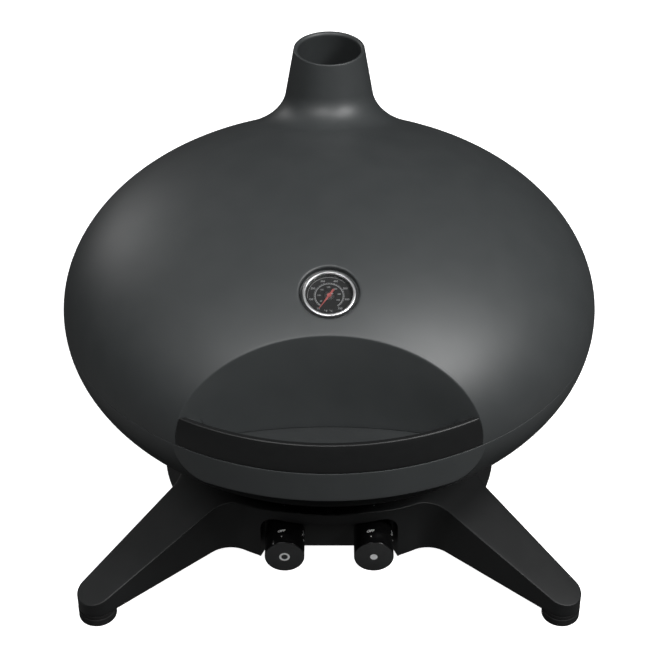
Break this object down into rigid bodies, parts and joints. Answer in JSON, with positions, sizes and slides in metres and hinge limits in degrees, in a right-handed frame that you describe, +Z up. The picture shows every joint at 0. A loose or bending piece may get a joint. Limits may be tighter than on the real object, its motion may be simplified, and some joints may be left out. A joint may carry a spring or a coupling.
{
  "type": "table-top gas grill",
  "caption": "Table-top gas grill: flattened-sphere body with hinged chimney lid and front handle, dial thermometer, splayed-arm base, turning gas knobs and a slide-out grease tray.",
  "frame": {"origin": "on the floor under the body's vertical axis, at the middle of the four feet", "axes": "+Z up, -Y towards the cook: handle, thermometer and knobs face -Y; +X to the cook's right"},
  "size_m": [0.532, 0.54, 0.412],
  "materials": {
    "base_coat": "satin black powder coat on cast aluminium",
    "body_coat": "satin anthracite powder coat on cast aluminium",
    "panel_coat": "satin black powder coat on sheet steel",
    "hinge_coat": "satin black powder coat",
    "handle_plastic": "fine-grained black glass-filled nylon",
    "knob_plastic": "glossy black thermoset",
    "box_plastic": "dull black moulded case",
    "foot_rubber": "dull black rubber",
    "silicone": "soft black silicone",
    "steel": "plain zinc-plated or stainless steel",
    "burner_steel": "heat-tinted stainless steel",
    "gauge_steel": "pressed steel",
    "gauge_chrome": "polished chrome",
    "dial_face": "printed matt black dial",
    "needle_red": "red enamel",
    "gauge_glass": "clear flat glass",
    "brass": "plain turned brass",
    "ceramic": null,
    "grate_iron": "matt black enamelled cast iron",
    "tray_aluminium": "plain pressed aluminium"
  },
  "bodies": {
    "stand": {"base_frame": "base_coat", "foot_pads": "foot_rubber", "foot_screws": "steel", "bowl": "body_coat", "bowl_screws": "steel", "valve_panel": "panel_coat", "panel_screws": "steel", "left_valve_body": "brass", "right_valve_body": "brass", "manifold_pipe": "steel", "gas_inlet": "brass", "left_venturi": "steel", "right_venturi": "steel", "outer_burner": "burner_steel", "inner_burner": "burner_steel", "outer_electrode": "ceramic", "inner_electrode": "ceramic", "spark_generator": "box_plastic", "flame_tamer": "burner_steel", "left_grate": "grate_iron", "right_grate": "grate_iron", "bowl_hinge_leaf": "hinge_coat", "hinge_pin": "steel", "bowl_hinge_screws": "steel", "tray_rails": "steel", "lid_bumpers": "silicone"},
    "lid": {"lid_shell": "body_coat", "handle": "handle_plastic", "handle_screws": "steel", "lid_hinge_leaf": "hinge_coat", "lid_hinge_screws": "steel", "gauge_case": "gauge_steel", "gauge_bezel": "gauge_chrome", "gauge_dial": "dial_face", "gauge_glass": "gauge_glass", "gauge_probe": "steel", "gauge_nut": "steel"},
    "needle": {"gauge_needle": "needle_red"},
    "left_tap": {"left_valve_plug": "brass"},
    "left_control": {"left_stem": "steel", "left_knob": "knob_plastic"},
    "right_tap": {"right_valve_plug": "brass"},
    "right_control": {"right_stem": "steel", "right_knob": "knob_plastic"},
    "tray": {"grease_tray": "tray_aluminium"}
  },
  "joints": [
    {"name": "lid_hinge", "type": "hinge", "parent": "stand", "child": "lid", "pos_m": [0, 0.2685, 0.22], "axis": [-1, 0, 0], "range_deg": [0, 90]},
    {"name": "needle_turn", "type": "hinge", "parent": "lid", "child": "needle", "pos_m": [0, -0.1553, 0.33894], "axis": [0, 0.3682, -0.9297], "range_deg": [0, 270]},
    {"name": "left_knob_turn", "type": "hinge", "parent": "stand", "child": "left_tap", "pos_m": [-0.044, -0.15, 0.042], "axis": [0, -1, 0], "range_deg": [0, 180]},
    {"name": "left_knob_push", "type": "slide", "parent": "left_tap", "child": "left_control", "axis": [0, 1, 0], "range_m": [0, 0.003], "stiffness_N_per_m": 900, "springref_m": -0.002},
    {"name": "right_knob_turn", "type": "hinge", "parent": "stand", "child": "right_tap", "pos_m": [0.044, -0.15, 0.042], "axis": [0, -1, 0], "range_deg": [0, 180]},
    {"name": "right_knob_push", "type": "slide", "parent": "right_tap", "child": "right_control", "axis": [0, 1, 0], "range_m": [0, 0.003], "stiffness_N_per_m": 900, "springref_m": -0.002},
    {"name": "tray_slide", "type": "slide", "parent": "stand", "child": "tray", "axis": [0, 1, 0], "range_m": [0, 0.15]}
  ]
}
